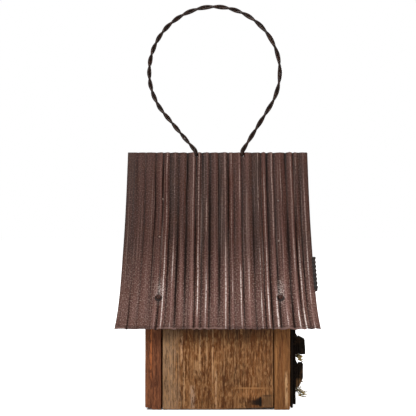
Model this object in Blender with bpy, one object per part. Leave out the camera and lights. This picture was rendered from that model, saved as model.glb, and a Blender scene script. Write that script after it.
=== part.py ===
"""A rustic hanging birdhouse: sawn boards, a creased tin sheet over the ridge and a twisted-wire hanger.

Frame: +X is the entrance side, -Y is the clean-out side, +Z is up.
The origin is the centre of the house's flat underside.
"""

import math

import bmesh
import bpy
from mathutils import Matrix, Vector

MM = 0.001
GAP = 0.3 * MM  # clearance between pieces that touch

# House
BOARD = 19 * MM
HOUSE_LENGTH = 173 * MM  # X, over the front and back boards
HOUSE_WIDTH = 152 * MM  # Y, over the door and the fixed side
SIDE_HEIGHT = 128 * MM
DOOR_GAP_BACK = 1.8 * MM
DOOR_GAP_FRONT = 1.2 * MM
DOOR_PIVOT_HEIGHT = 118 * MM
ENTRANCE_HEIGHT = 150 * MM
ENTRANCE_RADIUS = 19 * MM

# Tin roof
ROOF_LENGTH = 234 * MM
ROOF_SHEET = 0.6 * MM
RIDGE_HEIGHT = 313 * MM
RIDGE_RADIUS = 2 * MM
ROOF_SLOPES = ((0, 76), (40, 74.5), (85, 70), (118, 63.5), (180, 59.5), (207, 47), (225, 37), (245, 26))
ROOF_ROWS = (35, 70, 105, 140, 170, 190, 207, 222, 234, 245)  # mm down the slope
ROOF_VALLEYS = (-79, -70, -61, -50, -39.5, -27.5, -20, -10, 1.5, 14, 21, 31, 45, 56, 63.5, 73, 88, 98.5, 106)
ROOF_FLAT_BAND = (-103, -92)  # mm, the plain strip along the back rake
CRIMP = 1.4 * MM  # height of a crease above and below the middle of the sheet
CREASED_FROM = 35 * MM  # the creases reach full height this far below the ridge
BOARDS_BELOW_SHEET = 2.1 * MM

# Front dressing, in layers outwards from the front board
PLANK = 3.2 * MM
APRON = 4.0 * MM
APRON_HEIGHTS = (3.8 * MM, 100 * MM)
RAIL_WIDTH = 122 * MM
RAIL_DEPTH = 3.5 * MM
LEDGE_HEIGHTS = (63 * MM, 84.8 * MM)
BRANCH_HEIGHTS = (22.5 * MM, 51.7 * MM)
BLOCK_WIDTH = 11 * MM  # the blocks on the ends of both rails
LEDGE_BLOCK_DEPTH = 8.4 * MM
BRANCH_STUB_DEPTH = 5.5 * MM

# Hanger
WIRE_RADIUS = 1.5 * MM
TWIST_RADIUS = 1.75 * MM
HANGER_AXIS_HEIGHT = 307 * MM
HANGER_LEGS = (-28.2 * MM, 31.9 * MM)
LOOP_CENTRE = Vector((-4 * MM, 418.5 * MM))
LOOP_RADIUS = 85.4 * MM
HALF_TURNS = 27
SECTIONS_PER_HALF_TURN = 5
TOE_BEND = 2.5 * MM
TOE_LENGTH = 8 * MM
SLOT_HALF_LENGTH = 5.5 * MM

NAIL_SIDES = 8
ROOF_NAIL = {"head": 3.25, "height": 1.6, "shank": 1.4, "length": 25}
BRAD = {"head": 1.2, "height": 0.8, "shank": 0.7, "length": 12}
BOX_NAIL = {"head": 3.0, "height": 1.0, "shank": 1.3, "length": 38}
PIVOT_NAIL = {"head": 3.2, "height": 1.0, "shank": 1.5, "length": 40}
TRIM_NAIL = {"head": 2.2, "height": 0.8, "shank": 1.0, "length": 20}
RAIL_NAIL = {"head": 2.2, "height": 0.8, "shank": 1.0, "length": 31}

# Roof nails: (size, (x, height) at the back, (x, height) at the front), in mm
ROOF_NAILS = {
    "ridge": (BRAD, (-70, 252), (77.3, 250)),
    "middle": (BRAD, (-72.5, 204.5), (76.2, 199.5)),
    "eave": (ROOF_NAIL, (-70.2, 135), (74.9, 135)),
}
SPARE_BRAD = (74.9, 145.5)  # one more, just above the near front eave nail

FRONT = HOUSE_LENGTH / 2
SIDE = HOUSE_WIDTH / 2
PLANK_FACE = FRONT + GAP + PLANK
APRON_FACE = PLANK_FACE + GAP + APRON

LOOKS = {
    "tin": ((0.085, 0.045, 0.038), 0.45, 0.7),
    "wire": ((0.03, 0.018, 0.013), 0.5, 0.8),
    "nail": ((0.10, 0.055, 0.04), 0.55, 0.8),
    "board": ((0.20, 0.09, 0.035), 0.85, 0.0),
    "door": ((0.22, 0.12, 0.055), 0.85, 0.0),
    "char": ((0.012, 0.009, 0.007), 0.8, 0.0),
    "straw": ((0.30, 0.24, 0.05), 0.8, 0.0),
}


def finish(name, look):
    """A material of the object's own, from the look's colour, roughness and metallic value."""
    colour, roughness, metallic = LOOKS[look]
    material = bpy.data.materials.new(name)
    material.use_nodes = True
    shader = material.node_tree.nodes["Principled BSDF"]
    shader.inputs["Base Color"].default_value = (*colour, 1.0)
    shader.inputs["Roughness"].default_value = roughness
    shader.inputs["Metallic"].default_value = metallic
    return material


def add_piece(name, bm, look):
    """Turn a bmesh into an object with its own material."""
    mesh = bpy.data.meshes.new(name)
    bm.to_mesh(mesh)
    bm.free()
    piece = bpy.data.objects.new(name, mesh)
    bpy.context.scene.collection.objects.link(piece)
    piece.data.materials.append(finish(name, look))
    return piece


def hang_on(piece, pivot):
    """Put a moving piece's origin on its joint's axis."""
    piece.data.transform(Matrix.Translation(-pivot))
    piece.location = pivot


def slab(name, outline, low, high, along, look):
    """A flat piece: an outline of (u, v) corners, extruded from low to high along an axis."""
    placed = {
        "X": [(low, u, v) for u, v in outline],
        "Y": [(u, low, v) for u, v in outline],
        "Z": [(u, v, low) for u, v in outline],
    }[along]
    bm = bmesh.new()
    face = bm.faces.new([bm.verts.new(corner) for corner in placed])
    grown = bmesh.ops.extrude_face_region(bm, geom=[face])
    moved = [part for part in grown["geom"] if isinstance(part, bmesh.types.BMVert)]
    travel = Vector([high - low if axis == along else 0 for axis in "XYZ"])
    bmesh.ops.translate(bm, verts=moved, vec=travel)
    bmesh.ops.recalc_face_normals(bm, faces=bm.faces)
    return add_piece(name, bm, look)


def turned(profile, sides):
    """A bmesh turned about Z from (radius, height) points that start and end on the axis."""
    bm = bmesh.new()
    points = [bm.verts.new((radius, 0, height)) for radius, height in profile]
    edges = [bm.edges.new(pair) for pair in zip(points, points[1:])]
    bmesh.ops.spin(
        bm, geom=points + edges, cent=(0, 0, 0), axis=(0, 0, 1), angle=math.tau, steps=sides, use_merge=True
    )
    bmesh.ops.remove_doubles(bm, verts=bm.verts, dist=0.001 * MM)
    bmesh.ops.recalc_face_normals(bm, faces=bm.faces)
    return bm


def cut(piece, cutter):
    """Subtract a hidden cutter from a piece, in one Boolean with the piece's other cutters."""
    cutter.hide_render = True
    cutter.display_type = "WIRE"
    boolean = piece.modifiers.get("holes")
    if boolean is None:
        boolean = piece.modifiers.new("holes", "BOOLEAN")
        boolean.operation = "DIFFERENCE"
        boolean.solver = "EXACT"
        boolean.operand_type = "COLLECTION"
        boolean.collection = bpy.data.collections.new(piece.name + "_cutters")
    boolean.collection.objects.link(cutter)


def round_cutter(name, radius, bottom, top, sides):
    """A cylinder along Z whose flats, not its corners, stand at the radius."""
    corner = radius / math.cos(math.pi / sides)
    return add_piece(name, turned([(0, bottom), (corner, bottom), (corner, top), (0, top)], sides), "char")


def drive_nail(name, size, head_at, outwards, through, sunk=False):
    """A nail whose head's underside is at a point, and its clearance hole in each piece it goes through."""
    head, height, shank, length = (size[key] * MM for key in ("head", "height", "shank", "length"))
    profile = [(0, -length), (shank, -length + 2 * shank), (shank, 0), (head, 0)]
    profile += [(head, height / 2), (head * 0.6, height), (0, height)]
    nail = add_piece(name, turned(profile, NAIL_SIDES), "nail")
    clearance = GAP * 1.2
    cutters = [round_cutter(name + "_hole", shank + clearance, -length - clearance, 4 * height, NAIL_SIDES)]
    if sunk:
        cutters.append(round_cutter(name + "_recess", head + clearance, -clearance, 4 * height, NAIL_SIDES))
    turn = Vector((0, 0, 1)).rotation_difference(outwards)
    for thing in [nail, *cutters]:
        thing.rotation_mode = "QUATERNION"
        thing.location = head_at
        thing.rotation_quaternion = turn
    for piece in through:
        for cutter in cutters:
            cut(piece, cutter)
    return nail


# The roof's section: the sheet's slope below level changes with the distance down from the ridge line.


def slope_at(distance):
    steepest = math.radians(ROOF_SLOPES[0][1])
    if distance < RIDGE_RADIUS * steepest:
        return distance / RIDGE_RADIUS
    for (near, slope), (far, next_slope) in zip(ROOF_SLOPES, ROOF_SLOPES[1:]):
        if distance <= far * MM:
            share = (distance / MM - near) / (far - near)
            return math.radians(slope + share * (next_slope - slope))
    return math.radians(ROOF_SLOPES[-1][1])


def roof_point(distance, lift=0.0):
    """(y, z) on the +Y slope at a distance down from the ridge, raised off the sheet by lift."""
    steps = max(1, round(distance / (0.25 * MM)))
    step = distance / steps
    y, z = 0.0, RIDGE_HEIGHT
    for index in range(steps):
        slope = slope_at((index + 0.5) * step)
        y += step * math.cos(slope)
        z -= step * math.sin(slope)
    slope = slope_at(distance)
    return y + lift * math.sin(slope), z + lift * math.cos(slope)


def distance_at_height(height):
    """How far down the slope the sheet is at a height."""
    low, high = 0.0, ROOF_ROWS[-1] * MM
    for _ in range(30):
        middle = (low + high) / 2
        if roof_point(middle)[1] > height:
            low = middle
        else:
            high = middle
    return low


RIDGE_BEND = RIDGE_RADIUS * math.radians(ROOF_SLOPES[0][1])
SLOPE_DISTANCES = [RIDGE_BEND] + [row * MM for row in ROOF_ROWS]
GABLE_EDGE = [roof_point(distance, -BOARDS_BELOW_SHEET) for distance in SLOPE_DISTANCES]


def gable_height(y):
    """Height of a gable board's sawn edge, which runs just under the sheet."""
    for (y_in, z_in), (y_out, z_out) in zip(GABLE_EDGE, GABLE_EDGE[1:]):
        if abs(y) <= y_out:
            return z_in + (abs(y) - y_in) / (y_out - y_in) * (z_out - z_in)
    return GABLE_EDGE[-1][1]


def gable_outline(y_low, y_high, bottom):
    """A board's outline between two widths, cut along the roof."""
    corners = sorted([y for y, _ in GABLE_EDGE] + [-y for y, _ in GABLE_EDGE] + [0.0], reverse=True)
    edge = [y_high] + [y for y in corners if y_low + GAP < y < y_high - GAP] + [y_low]
    return [(y_low, bottom), (y_high, bottom)] + [(y, gable_height(y)) for y in edge]


def build_roof():
    """One sheet, creased from ridge to eave, folded over the ridge."""
    half = ROOF_LENGTH / 2
    columns = [(-half, 0.0)] + [(x * MM, 0.0) for x in ROOF_FLAT_BAND]
    for valley, following in zip(ROOF_VALLEYS, ROOF_VALLEYS[1:] + (half / MM,)):
        columns += [(valley * MM, -CRIMP), ((valley + following) / 2 * MM, CRIMP)]
    columns.append((half, 0.0))
    rows = [-distance for distance in reversed(SLOPE_DISTANCES)] + [0.0] + SLOPE_DISTANCES
    bm = bmesh.new()
    bmesh.ops.create_grid(bm, x_segments=len(columns) - 1, y_segments=len(rows) - 1, size=0.5)
    for vert in bm.verts:
        x, crease = columns[round((vert.co.x + 0.5) * (len(columns) - 1))]
        distance = rows[round((vert.co.y + 0.5) * (len(rows) - 1))]
        share = 0.5 + 0.5 * min(1.0, abs(distance) / CREASED_FROM)
        y, z = roof_point(abs(distance), crease * share)
        vert.co = (x, math.copysign(y, distance), z)
    roof = add_piece("roof_sheet", bm, "tin")
    solid = roof.modifiers.new("thickness", "SOLIDIFY")
    solid.thickness = ROOF_SHEET
    solid.offset = 0.0
    for leg in HANGER_LEGS:
        low, high = leg - SLOT_HALF_LENGTH, leg + SLOT_HALF_LENGTH
        top = RIDGE_HEIGHT + 5 * MM
        outline = [(low, HANGER_AXIS_HEIGHT), (high, HANGER_AXIS_HEIGHT), (high, top), (low, top)]
        cut(roof, slab(f"slot_{leg / MM:.0f}", outline, -8 * MM, 8 * MM, "Y", "char"))
    return roof


def build_rake_clip():
    """A ribbed strip of tin folded round the front rake, on the clean-out side."""
    clip = {"top": 180 * MM, "bottom": 142 * MM, "inner": 115.4 * MM, "outer": 120.4 * MM, "rows": 6}
    sheet = 0.6 * MM
    clear = CRIMP + ROOF_SHEET / 2 + GAP
    start, end = distance_at_height(clip["top"]), distance_at_height(clip["bottom"])
    section = [(clip["inner"], clear), (clip["outer"] - sheet, clear)]
    section += [(clip["outer"] - sheet, -clear), (clip["inner"], -clear)]
    section += [(clip["inner"], -clear - sheet), (clip["outer"], -clear - sheet)]
    section += [(clip["outer"], clear + sheet), (clip["inner"], clear + sheet)]
    bm = bmesh.new()
    rings = []
    for row in range(clip["rows"] + 1):
        distance = start + (end - start) * row / clip["rows"]
        ring = []
        for x, lift in section:
            y, z = roof_point(distance, lift)
            ring.append(bm.verts.new((x, -y, z)))
        rings.append(ring)
    bm.faces.new(rings[0])
    bm.faces.new(rings[-1])
    for ring, following in zip(rings, rings[1:]):
        for index in range(len(section)):
            after = (index + 1) % len(section)
            bm.faces.new((ring[index], ring[after], following[after], following[index]))
    bmesh.ops.recalc_face_normals(bm, faces=bm.faces)
    return add_piece("rake_clip", bm, "tin")


def build_boards():
    """The four fixed boards, and the door that swings between the gables on two nails."""
    inner = FRONT - BOARD
    boards = {
        "front_board": slab("front_board", gable_outline(-SIDE, SIDE, 0.0), inner, FRONT, "X", "board"),
        "back_board": slab("back_board", gable_outline(-SIDE, SIDE, 0.0), -FRONT, -inner, "X", "board"),
    }
    low, high = -inner + GAP, inner - GAP
    side = [(low, 0.0), (high, 0.0), (high, SIDE_HEIGHT), (low, SIDE_HEIGHT)]
    boards["fixed_side_board"] = slab("fixed_side_board", side, SIDE - BOARD, SIDE, "Y", "board")
    drain = 8 * MM  # the floor's corners are sawn off to let water out
    near, far = -SIDE + BOARD + 0.7 * MM, SIDE - BOARD - GAP
    floor = [(low + drain, near), (high - drain, near), (high, near + drain), (high, far - drain)]
    floor += [(high - drain, far), (low + drain, far), (low, far - drain), (low, near + drain)]
    boards["floor_board"] = slab("floor_board", floor, 0.0, BOARD, "Z", "board")
    low, high = -inner + DOOR_GAP_BACK, inner - DOOR_GAP_FRONT
    bottom = 0.5 * MM
    door = [(low, bottom), (high, bottom), (high, SIDE_HEIGHT), (low, SIDE_HEIGHT)]
    boards["side_door"] = slab("side_door", door, -SIDE, -SIDE + BOARD, "Y", "door")
    return boards


def build_front_dressing():
    """Charred planks, an apron over them, and a ledge and a branch rail with blocks on their ends."""
    low, high = FRONT + GAP, PLANK_FACE
    bottom = 1.5 * MM
    middle, outer, joint = 25 * MM, SIDE - 1 * MM, 0.5 * MM
    pieces = {}
    for name, y_low, y_high in (
        ("front_plank_left", middle + joint, outer),
        ("front_plank_middle", -middle + joint, middle - joint),
        ("front_plank_right", -outer, -middle - joint),
    ):
        pieces[name] = slab(name, gable_outline(y_low, y_high, bottom), low, high, "X", "char")
    apron_low, apron_high = APRON_HEIGHTS
    half = 66 * MM
    apron = [(-half, apron_low), (half, apron_low), (half, apron_high), (-half, apron_high)]
    pieces["front_apron"] = slab("front_apron", apron, PLANK_FACE + GAP, APRON_FACE, "X", "char")
    back = APRON_FACE + GAP
    face = back + RAIL_DEPTH
    half = RAIL_WIDTH / 2
    for name, (low, high) in (("ledge", LEDGE_HEIGHTS), ("branch_rail", BRANCH_HEIGHTS)):
        rail = [(back, low), (face, low + 1 * MM), (face, high - 0.5 * MM), (back, high - 1 * MM)]
        pieces[name] = slab(name, rail, -half, half, "Y", "char")
    inner = face + GAP
    low, high = LEDGE_HEIGHTS
    tip = inner + LEDGE_BLOCK_DEPTH
    block = [(inner, low), (tip, low), (tip - 0.8 * MM, high - 3.6 * MM), (inner, high)]
    low, high = BRANCH_HEIGHTS
    tip = inner + BRANCH_STUB_DEPTH
    stub = [(inner, low), (tip - 3 * MM, low + 5 * MM), (tip, low + 12 * MM), (tip, high), (inner, high)]
    for side, low, high in (("left", half - BLOCK_WIDTH, half), ("right", -half, -half + BLOCK_WIDTH)):
        pieces[f"ledge_block_{side}"] = slab(f"ledge_block_{side}", block, low, high, "Y", "char")
        pieces[f"branch_stub_{side}"] = slab(f"branch_stub_{side}", stub, low, high, "Y", "char")
    return pieces


def build_straw(name, centre, half_depth, half_height, half_width):
    """A tuft of straw as one plain spindle along Y."""
    ends, belly = 0.35, 0.75
    profile = [(0, -1), (ends, -1), (belly, -0.7), (1, 0), (belly, 0.7), (ends, 1), (0, 1)]
    bm = turned(profile, 8)
    lay = Matrix.Rotation(math.radians(90), 4, "X")
    size = Matrix.Diagonal((half_depth, half_width, half_height, 1))
    bmesh.ops.transform(bm, matrix=Matrix.Translation(centre) @ size @ lay, verts=bm.verts)
    return add_piece(name, bm, "straw")


def nail_house(boards, front, roof):
    """Every nail: in the roof, the gable boards, the door's pivots and the front dressing."""
    stand_off = CRIMP + ROOF_SHEET / 2 + GAP
    places = []
    for place, (size, back, front_end) in ROOF_NAILS.items():
        for side, sign in (("near", -1), ("far", 1)):
            places.append((f"roof_nail_{place}_back_{side}", size, back, sign, "back_board"))
            places.append((f"roof_nail_{place}_front_{side}", size, front_end, sign, "front_board"))
    places.append(("roof_nail_spare_front_near", BRAD, SPARE_BRAD, -1, "front_board"))
    for name, size, (x, height), sign, board in places:
        distance = distance_at_height(height * MM)
        y, z = roof_point(distance, stand_off)
        slope = slope_at(distance)
        outwards = Vector((0, sign * math.sin(slope), math.cos(slope)))
        drive_nail(name, size, Vector((x * MM, sign * y, z)), outwards, [roof, boards[board]])
    pivot_y = -SIDE + BOARD / 2
    for end, sign in (("back", -1), ("front", 1)):
        gable = boards[f"{end}_board"]
        outwards = Vector((sign, 0, 0))
        sunk = end == "front"
        depth = FRONT - 1.6 * MM if sunk else FRONT + GAP
        at = Vector((sign * depth, pivot_y, DOOR_PIVOT_HEIGHT))
        drive_nail(f"door_pivot_nail_{end}", PIVOT_NAIL, at, outwards, [gable, boards["side_door"]], sunk)
        for place, z in (("low", 35), ("high", 95)):
            at = Vector((sign * depth, SIDE - BOARD / 2, z * MM))
            name = f"{end}_board_nail_side_{place}"
            drive_nail(name, BOX_NAIL, at, outwards, [gable, boards["fixed_side_board"]], sunk)
        for place, y in (("near", -30), ("far", 30)):
            at = Vector((sign * depth, y * MM, BOARD / 2))
            name = f"{end}_board_nail_floor_{place}"
            drive_nail(name, BOX_NAIL, at, outwards, [gable, boards["floor_board"]], sunk)
    outwards = Vector((1, 0, 0))
    for place, y in (("left", 45), ("middle", 0), ("right", -45)):
        at = Vector((PLANK_FACE + GAP, y * MM, 118 * MM))
        plank = front[f"front_plank_{place}"]
        drive_nail(f"front_plank_nail_{place}", TRIM_NAIL, at, outwards, [plank, boards["front_board"]])
    block_face = APRON_FACE + 2 * GAP + RAIL_DEPTH
    for rail, block, depth, z in (
        ("ledge", "ledge_block", LEDGE_BLOCK_DEPTH, 72),
        ("branch_rail", "branch_stub", BRANCH_STUB_DEPTH, 43),
    ):
        for place, sign in (("left", 1), ("right", -1)):
            y = sign * (RAIL_WIDTH - BLOCK_WIDTH) / 2
            at = Vector((block_face + depth + GAP, y, z * MM))
            layers = [front[f"{block}_{place}"], front[rail], front["front_apron"]]
            layers += [front[f"front_plank_{place}"], boards["front_board"]]
            drive_nail(f"{rail}_nail_{place}", RAIL_NAIL, at, outwards, layers)


# The hanger: two wires twisted together, through the ridge at both ends.


def filleted(corner, before, after, radius):
    """Points of the arc that rounds a corner of the hanger's middle line."""
    into, away = (corner - before).normalized(), (after - corner).normalized()
    turn = into.angle(away)
    reach = radius * math.tan(turn / 2)
    start = corner - into * reach
    side = (away - into * into.dot(away)).normalized()
    count = 6
    points = []
    for index in range(count + 1):
        angle = turn * index / count
        points.append(start + into * radius * math.sin(angle) + side * radius * (1 - math.cos(angle)))
    return points


def hanger_line():
    """The hanger's middle line as (x, z) points: up one leg, round the loop and down the other."""
    knee_height = 314.5 * MM
    foot_height = HANGER_AXIS_HEIGHT + TOE_BEND
    halves = []
    for leg, side in zip(HANGER_LEGS, (1, -1)):
        knee = Vector((leg, knee_height))
        to_centre = LOOP_CENTRE - knee
        reach = math.sqrt(to_centre.length_squared - LOOP_RADIUS**2)
        swing = math.asin(LOOP_RADIUS / to_centre.length)
        heading = math.atan2(to_centre.y, to_centre.x) + side * swing
        touch = knee + reach * Vector((math.cos(heading), math.sin(heading)))
        foot = Vector((leg, foot_height))
        halves.append(([foot, *filleted(knee, foot, touch, 8 * MM), touch], touch - LOOP_CENTRE))
    (up, start), (down, end) = halves
    first = math.atan2(start.y, start.x) % math.tau
    last = math.atan2(end.y, end.x)
    steps = 120
    angles = [first + (last - first) * index / steps for index in range(1, steps)]
    loop = [LOOP_CENTRE + LOOP_RADIUS * Vector((math.cos(angle), math.sin(angle))) for angle in angles]
    return up + loop + down[::-1]


def spaced(points, count):
    """The same line with its points at even distances."""
    lengths = [(after - before).length for before, after in zip(points, points[1:])]
    total = sum(lengths)
    result, index, passed = [], 0, 0.0
    for step in range(count + 1):
        target = total * step / count
        while index < len(lengths) - 1 and passed + lengths[index] < target:
            passed += lengths[index]
            index += 1
        share = (target - passed) / lengths[index]
        result.append(points[index].lerp(points[index + 1], share))
    return result


def strand_points(phase):
    """One wire of the twist, with a toe along X under the ridge at each end."""
    count = HALF_TURNS * SECTIONS_PER_HALF_TURN
    line = spaced(hanger_line(), count)
    twisted = []
    for index, point in enumerate(line):
        ahead = line[min(index + 1, count)] - line[max(index - 1, 0)]
        ahead.normalize()
        angle = phase + math.pi * HALF_TURNS * index / count
        across = Vector((-ahead.y, ahead.x)) * TWIST_RADIUS * math.cos(angle)
        twisted.append(Vector((point.x + across.x, TWIST_RADIUS * math.sin(angle), point.y + across.y)))
    for leg, foot_first in ((HANGER_LEGS[0], True), (HANGER_LEGS[1], False)):
        foot = twisted[0] if foot_first else twisted[-1]
        side = math.copysign(1.0, foot.x - leg)
        steps = 4
        toe = []
        for index in range(1, steps + 1):
            angle = math.pi / 2 * index / steps
            out = side * TOE_BEND * (1 - math.cos(angle))
            toe.append(Vector((foot.x + out, 0, foot.z - TOE_BEND * math.sin(angle))))
        toe.append(toe[-1] + Vector((side * TOE_LENGTH, 0, 0)))
        twisted = toe[::-1] + twisted if foot_first else twisted + toe
    return twisted


def build_strand(name, phase):
    curve = bpy.data.curves.new(name, "CURVE")
    curve.dimensions = "3D"
    curve.bevel_depth = WIRE_RADIUS
    curve.bevel_resolution = 1
    curve.render_resolution_u = 0
    curve.use_fill_caps = True
    points = strand_points(phase)
    spline = curve.splines.new("POLY")
    spline.points.add(len(points) - 1)
    for target, point in zip(spline.points, points):
        target.co = (*point, 1.0)
    strand = bpy.data.objects.new(name, curve)
    bpy.context.scene.collection.objects.link(strand)
    curve.materials.append(finish(name, "wire"))
    hang_on(strand, Vector((0, 0, HANGER_AXIS_HEIGHT)))
    return strand


def build_birdhouse():
    for thing in list(bpy.data.objects):
        bpy.data.objects.remove(thing, do_unlink=True)
    boards = build_boards()
    front = build_front_dressing()
    roof = build_roof()
    build_rake_clip()
    entrance = round_cutter("entrance_cutter", ENTRANCE_RADIUS, -FRONT, FRONT, 24)
    entrance.location = (FRONT, 0, ENTRANCE_HEIGHT)
    entrance.rotation_euler = (0, math.radians(90), 0)
    cut(boards["front_board"], entrance)
    cut(front["front_plank_middle"], entrance)
    straw_x = APRON_FACE + 4.4 * MM
    build_straw("straw_upper", Vector((straw_x, -6 * MM, 57.3 * MM)), 3.9 * MM, 4.8 * MM, 50 * MM)
    build_straw("straw_lower", Vector((straw_x + 0.4 * MM, -4 * MM, 15.6 * MM)), 4.3 * MM, 6.3 * MM, 52 * MM)
    nail_house(boards, front, roof)
    hang_on(boards["side_door"], Vector((0, -SIDE + BOARD / 2, DOOR_PIVOT_HEIGHT)))
    build_strand("hanger_strand_a", 0.0)
    build_strand("hanger_strand_b", math.pi)


build_birdhouse()
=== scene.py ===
import math
import random

import bmesh
import bpy
from mathutils import Matrix, Vector, noise


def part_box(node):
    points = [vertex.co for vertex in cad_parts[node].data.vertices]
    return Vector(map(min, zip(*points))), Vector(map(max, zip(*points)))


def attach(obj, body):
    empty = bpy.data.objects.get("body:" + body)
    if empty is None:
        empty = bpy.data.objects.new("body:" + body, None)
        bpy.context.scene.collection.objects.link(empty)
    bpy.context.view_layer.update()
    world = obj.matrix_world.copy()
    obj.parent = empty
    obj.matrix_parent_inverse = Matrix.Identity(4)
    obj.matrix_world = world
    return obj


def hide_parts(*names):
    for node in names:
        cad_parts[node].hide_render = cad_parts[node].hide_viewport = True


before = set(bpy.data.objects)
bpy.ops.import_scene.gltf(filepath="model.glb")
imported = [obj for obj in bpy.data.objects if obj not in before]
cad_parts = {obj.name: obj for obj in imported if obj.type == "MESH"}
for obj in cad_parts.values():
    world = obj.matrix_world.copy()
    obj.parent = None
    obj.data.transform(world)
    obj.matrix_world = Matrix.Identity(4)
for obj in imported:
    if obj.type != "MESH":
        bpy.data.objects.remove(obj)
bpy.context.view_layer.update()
mm = 0.001
print("frame loaded:", len(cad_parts), "parts")


def paint(red, green, blue):  # a colour as a screen shows it, made linear
    def linear(value):
        value /= 255
        return value / 12.92 if value <= 0.04045 else ((value + 0.055) / 1.055) ** 2.4

    return (linear(red), linear(green), linear(blue), 1.0)


def put(tree, kind, values=None, **settings):  # a node with its settings, values and incoming links
    made = tree.nodes.new("ShaderNode" + kind)
    for key, value in settings.items():
        setattr(made, key, value)
    for key, value in (values or {}).items():
        socket = made.inputs[key]
        if isinstance(value, bpy.types.NodeSocket):
            tree.links.new(value, socket)
        else:
            socket.default_value = value
    return made


def maths(tree, operation, first, second=0.0, third=0.0):
    return put(tree, "Math", {0: first, 1: second, 2: third}, operation=operation).outputs[0]


def times(tree, first, second):
    return maths(tree, "MULTIPLY", first, second)


def vectorMaths(tree, operation, first, second):
    return put(tree, "VectorMath", {0: first, 1: second}, operation=operation).outputs[0]


def blended(tree, factor, first, second):
    return put(tree, "Mix", {0: factor, 6: first, 7: second}, data_type="RGBA").outputs[2]


def tinted(tree, colour, mask, share, tone):  # the colour moved towards the tone where the mask is high
    return blended(tree, times(tree, mask, share), colour, tone)


def between(tree, value, low, high):  # a smooth step from 0 at low to 1 at high
    return put(tree, "MapRange", {0: value, 1: low, 2: high}, interpolation_type="SMOOTHSTEP").outputs[0]


def layered(tree, colour, layers):  # each tone comes in as its value goes from low to high
    for value, low, high, share, tone in layers:
        colour = tinted(tree, colour, between(tree, value, low, high), share, tone)
    return colour


def swing(tree, value, reach):  # a value of 0 to 1 as an offset to either side of nothing
    return times(tree, maths(tree, "SUBTRACT", value, 0.5), reach)


def distanceBetween(tree, first, second):
    return put(tree, "VectorMath", {0: first, 1: second}, operation="DISTANCE").outputs["Value"]


def objectPlace(tree):
    return put(tree, "TexCoord").outputs["Object"]


def stretchedNoise(tree, vector, stretch, detail=3.0, roughness=0.55):
    scaled = vectorMaths(tree, "MULTIPLY", vector, stretch)
    values = {"Vector": scaled, "Scale": 1.0, "Detail": detail, "Roughness": roughness}
    return put(tree, "TexNoise", values).outputs["Fac"]


def readAttribute(tree, name):
    return put(tree, "Attribute", attribute_name=name).outputs["Fac"]


def startGroup(name, inputs, outputs):
    tree = bpy.data.node_groups.new(name, "ShaderNodeTree")
    for label, kind, value in inputs:
        socket = tree.interface.new_socket(label, in_out="INPUT", socket_type="NodeSocket" + kind)
        socket.default_value = value
    for label, kind in outputs:
        tree.interface.new_socket(label, in_out="OUTPUT", socket_type="NodeSocket" + kind)
    return tree, tree.nodes.new("NodeGroupInput"), tree.nodes.new("NodeGroupOutput")


def useGroup(tree, group, values):
    made = tree.nodes.new("ShaderNodeGroup")
    made.node_tree = group
    for key, value in values.items():
        if isinstance(value, bpy.types.NodeSocket):
            tree.links.new(value, made.inputs[key])
        else:
            made.inputs[key].default_value = value
    return made.outputs


def startMaterial(name, roughness, specular=0.5, metallic=0.0):
    material = bpy.data.materials.new(name)
    material.use_nodes = True
    tree = material.node_tree
    shader = tree.nodes["Principled BSDF"]
    shader.inputs["Roughness"].default_value = roughness
    shader.inputs["Specular IOR Level"].default_value = specular
    shader.inputs["Metallic"].default_value = metallic
    return material, tree, shader


def endMaterial(tree, shader, colour, height, distance, strength):
    tree.links.new(colour, shader.inputs["Base Color"])
    bump = put(tree, "Bump", {"Height": height, "Distance": distance, "Strength": strength})
    tree.links.new(bump.outputs[0], shader.inputs["Normal"])


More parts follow.
